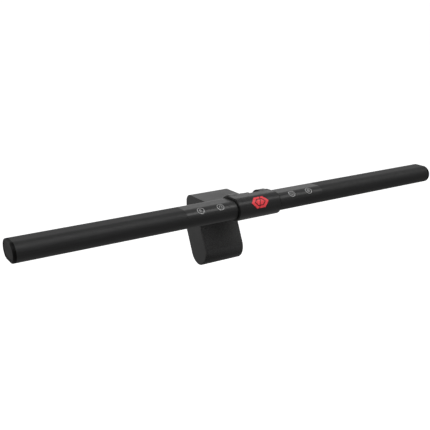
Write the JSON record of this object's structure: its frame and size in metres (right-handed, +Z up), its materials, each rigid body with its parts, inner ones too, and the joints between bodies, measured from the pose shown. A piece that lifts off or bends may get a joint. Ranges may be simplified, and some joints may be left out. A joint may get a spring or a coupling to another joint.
{
  "type": "monitor light bar",
  "caption": "Oval light bar in a collar that tilts on a clip resting on a monitor's top edge, held by a sprung counterweight behind the screen.",
  "frame": {"origin": "middle of the pad face that rests on the monitor's top edge, on the clip's centre plane", "axes": "+X along the bar, +Y away from the user to the back of the monitor, +Z up"},
  "size_m": [0.45, 0.0984, 0.0838],
  "materials": {
    "anodised_aluminium": "fine satin anodised black",
    "cap_plastic": "fine matt",
    "diffuser": "milky satin",
    "white_plastic": "white satin",
    "led_strip": "white solder mask",
    "led": "yellow phosphor",
    "touch_panel": "semi-gloss",
    "flex_circuit": "polyimide film",
    "dark_plastic": "matt",
    "circuit_board": "green solder mask",
    "chip": "matt",
    "wire": "smooth",
    "socket_metal": "tinned",
    "collar_plastic": "fine spark texture",
    "ring_black": "matt black",
    "emblem_red": "printed red",
    "screw_steel": "zinc plated",
    "brass": "plain",
    "pin_steel": "ground",
    "die_cast": "as cast",
    "clip_plastic": "fine spark texture",
    "pad_rubber": "soft matt",
    "weight_steel": "rolled",
    "bush_plastic": "natural acetal"
  },
  "bodies": {
    "clip": {"tilt_pin": "pin_steel", "tilt_pin_clip": "screw_steel", "clip_frame": "die_cast", "clip_housing": "clip_plastic", "clip_bottom_cover": "clip_plastic", "cover_screws": "screw_steel", "rest_pad": "pad_rubber", "lip_pad": "pad_rubber", "arm_pin": "pin_steel", "arm_spring": "pin_steel"},
    "lamp": {"bar_housing": "anodised_aluminium", "left_end_cap": "cap_plastic", "right_end_cap": "cap_plastic", "light_diffuser": "diffuser", "reflector": "white_plastic", "led_board": "led_strip", "leds": "led", "left_touch_panel": "touch_panel", "right_touch_panel": "touch_panel", "left_touch_board": "flex_circuit", "right_touch_board": "flex_circuit", "board_tray": "dark_plastic", "driver_board": "circuit_board", "driver_chips": "chip", "led_wires": "wire", "usb_socket": "socket_metal", "port_surround": "dark_plastic", "collar": "collar_plastic", "left_collar_ring": "ring_black", "right_collar_ring": "ring_black", "emblem": "emblem_red", "tilt_yoke": "collar_plastic", "yoke_screws": "screw_steel", "tilt_washers": "brass"},
    "counterweight": {"weight_housing": "clip_plastic", "weight_rear_cover": "clip_plastic", "rear_cover_screws": "screw_steel", "steel_weight": "weight_steel", "grip_pad": "pad_rubber", "arm_bushes": "bush_plastic", "arm_pin_caps": "dark_plastic"}
  },
  "joints": [
    {"name": "lamp_tilt", "type": "hinge", "parent": "clip", "child": "lamp", "pos_m": [0, -0.021, 0.0065], "axis": [1, 0, 0], "range_deg": [-20, 20]},
    {"name": "counterweight_swing", "type": "hinge", "parent": "clip", "child": "counterweight", "pos_m": [0, 0.0268, -0.0239], "axis": [1, 0, 0], "range_deg": [0, 30], "stiffness_Nm_per_rad": 0.2, "springref_deg": -28.65, "deforming": ["arm_spring"]}
  ]
}
